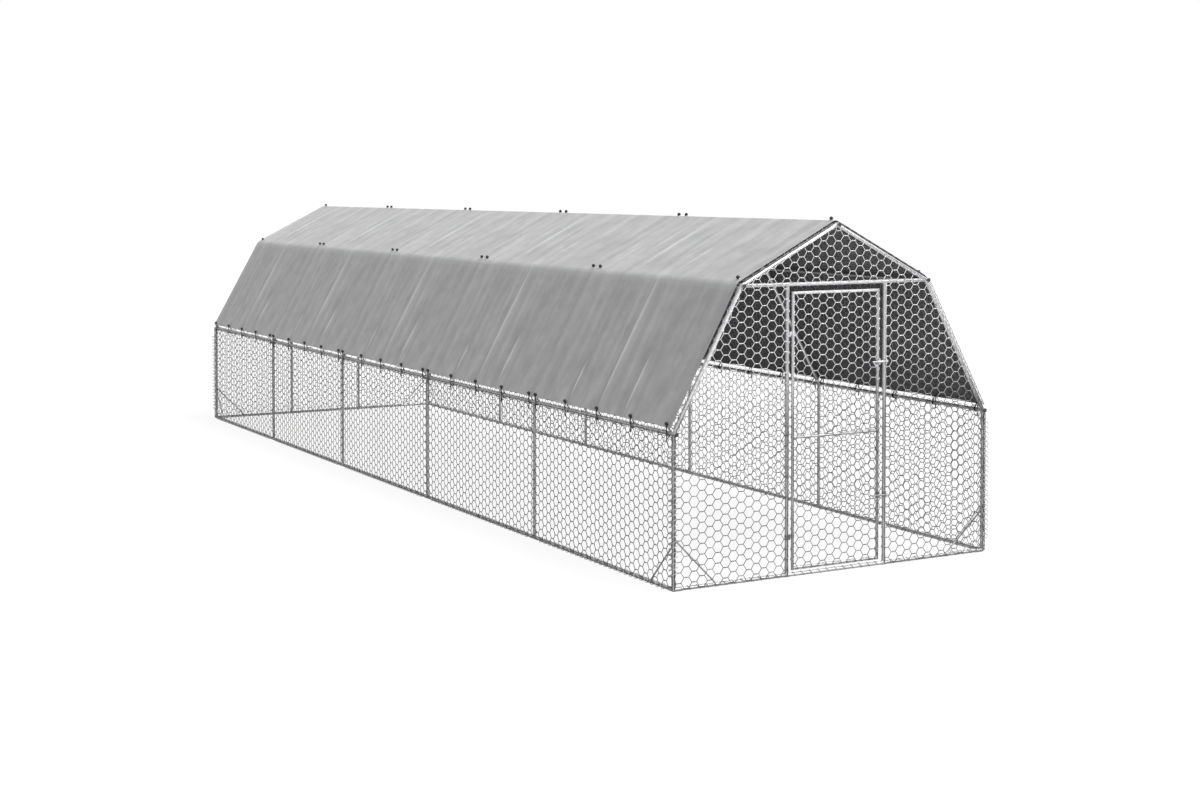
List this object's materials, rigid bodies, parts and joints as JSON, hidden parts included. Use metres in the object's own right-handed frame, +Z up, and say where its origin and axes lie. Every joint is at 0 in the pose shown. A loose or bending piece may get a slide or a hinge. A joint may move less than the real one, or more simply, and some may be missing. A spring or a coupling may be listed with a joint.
{
  "type": "chicken run",
  "caption": "Long walk-in chicken run with a gambrel roof: tube arches, hexagonal wire netting, tied roof covers and a hinged, bolted door in one end.",
  "frame": {"origin": "on the ground, in the middle of the run's length and width", "axes": "+Y runs along the run away from the door end, +X across it to the right seen from the door end, +Z up"},
  "size_m": [2.6778, 10.0976, 2.4482],
  "materials": {
    "tube": "galvanised, satin",
    "joint": "galvanised, satin",
    "netting": "galvanised wire",
    "cover": "woven, coated, silver grey",
    "tie": "black elastic cord and ball",
    "plug": "black, moulded",
    "fitting": "zinc plated"
  },
  "bodies": {
    "frame": {"end_sills": "tube", "sills_left": "tube", "sills_right": "tube", "posts_left": "tube", "posts_right": "tube", "eave_rails_left": "tube", "eave_rails_right": "tube", "low_rafters_left": "tube", "low_rafters_right": "tube", "knee_rails_left": "tube", "knee_rails_right": "tube", "top_rafters_left": "tube", "top_rafters_right": "tube", "ridge_rails": "tube", "end_ties": "tube", "hinge_jamb": "tube", "latch_jamb": "tube", "back_posts": "tube", "base_corners": "joint", "base_tees": "joint", "eave_elbows": "joint", "knee_joints": "joint", "end_knee_joints": "joint", "ridge_joints": "joint", "jamb_tees": "joint", "end_plugs": "plug", "braces_side": "tube", "braces_end": "tube", "side_net_left": "netting", "side_net_right": "netting", "low_net_left": "netting", "low_net_right": "netting", "top_net_left": "netting", "top_net_right": "netting", "front_net_left": "netting", "front_net_right": "netting", "gable_net": "netting", "back_net": "netting", "cover_1": "cover", "cover_2": "cover", "cover_3": "cover", "cover_4": "cover", "cover_5": "cover", "hem_ties_left": "tie", "hem_ties_right": "tie", "knee_ties": "tie", "ridge_ties": "tie", "hinge_pintles": "fitting", "keepers": "fitting"},
    "door": {"hinge_stile": "tube", "latch_stile": "tube", "door_rails": "tube", "door_caps": "plug", "door_net": "netting", "hinge_eyes": "fitting", "latch_guides": "fitting"},
    "lower_bolt": {"bolt_lower": "fitting"},
    "upper_bolt": {"bolt_upper": "fitting"}
  },
  "joints": [
    {"name": "door_swing", "type": "hinge", "parent": "frame", "child": "door", "pos_m": [-0.392, -5, 0.3], "axis": [0, 0, -1], "range_deg": [0, 100]},
    {"name": "lower_bolt_slide", "type": "slide", "parent": "door", "child": "lower_bolt", "axis": [1, 0, 0], "range_m": [0, 0.03]},
    {"name": "upper_bolt_slide", "type": "slide", "parent": "door", "child": "upper_bolt", "axis": [1, 0, 0], "range_m": [0, 0.03]}
  ]
}
